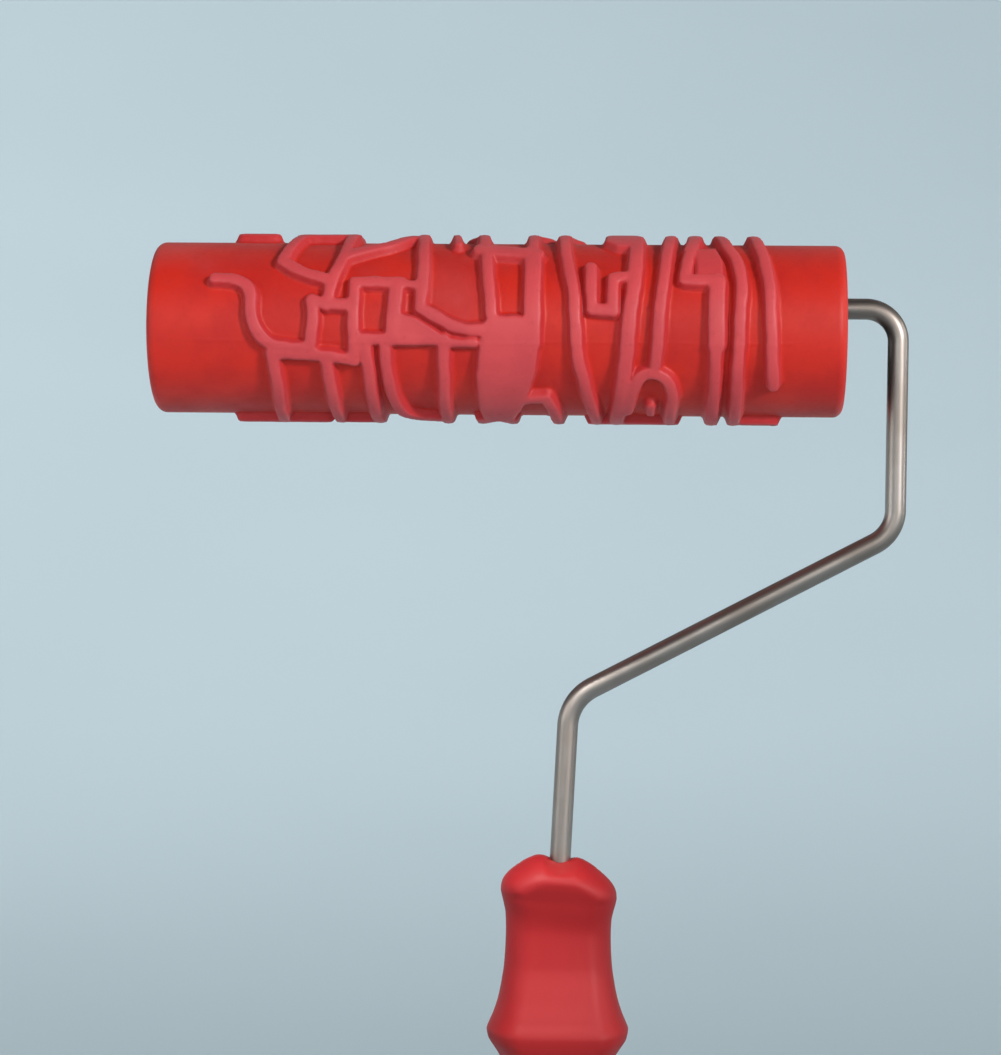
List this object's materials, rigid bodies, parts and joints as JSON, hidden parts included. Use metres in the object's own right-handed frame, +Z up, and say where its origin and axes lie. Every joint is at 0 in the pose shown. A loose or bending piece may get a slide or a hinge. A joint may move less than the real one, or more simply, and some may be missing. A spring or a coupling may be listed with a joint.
{
  "type": "textured pattern roller",
  "caption": "Relief-patterned rubber roller that turns on a bent wire frame with a moulded plastic handle, for pressing a texture into wet plaster or paint.",
  "frame": {"origin": "middle of the pole socket's mouth, at the handle's lower end", "axes": "+Z up the handle to the roller, X along the roller with the frame's side arm at +X, -Y the front"},
  "size_m": [0.1972, 0.0496, 0.2868],
  "materials": {
    "red_rubber": "satin moulded rubber, slightly paler on the ribs",
    "core_plastic": "matt extruded tube",
    "cap_plastic": "fine-grained moulded plastic",
    "zinc_steel": "zinc-plated pressed steel",
    "nickel_wire": "drawn wire with bright nickel plating",
    "handle_plastic": "smooth moulded plastic, half gloss",
    "insert_plastic": "matt moulded plastic"
  },
  "bodies": {
    "frame": {"wire_frame": "nickel_wire", "handle_body": "handle_plastic", "pole_socket_insert": "insert_plastic", "stop_collar": "zinc_steel", "push_nut": "zinc_steel"},
    "roller": {"rubber_sleeve": "red_rubber", "core_tube": "core_plastic", "end_cap_left": "cap_plastic", "end_cap_right": "cap_plastic"},
    "left_washer": {"washer_left": "zinc_steel"},
    "right_washer": {"washer_right": "zinc_steel"}
  },
  "joints": [
    {"name": "roller_spin", "type": "hinge", "parent": "frame", "child": "roller", "pos_m": [-0.0172, 0, 0.262], "axis": [1, 0, 0], "continuous": true},
    {"name": "washer_left_spin", "type": "hinge", "parent": "frame", "child": "left_washer", "pos_m": [-0.0982, 0, 0.268], "axis": [1, 0, 0], "continuous": true},
    {"name": "washer_right_spin", "type": "hinge", "parent": "frame", "child": "right_washer", "pos_m": [0.0638, 0, 0.268], "axis": [1, 0, 0], "continuous": true}
  ]
}
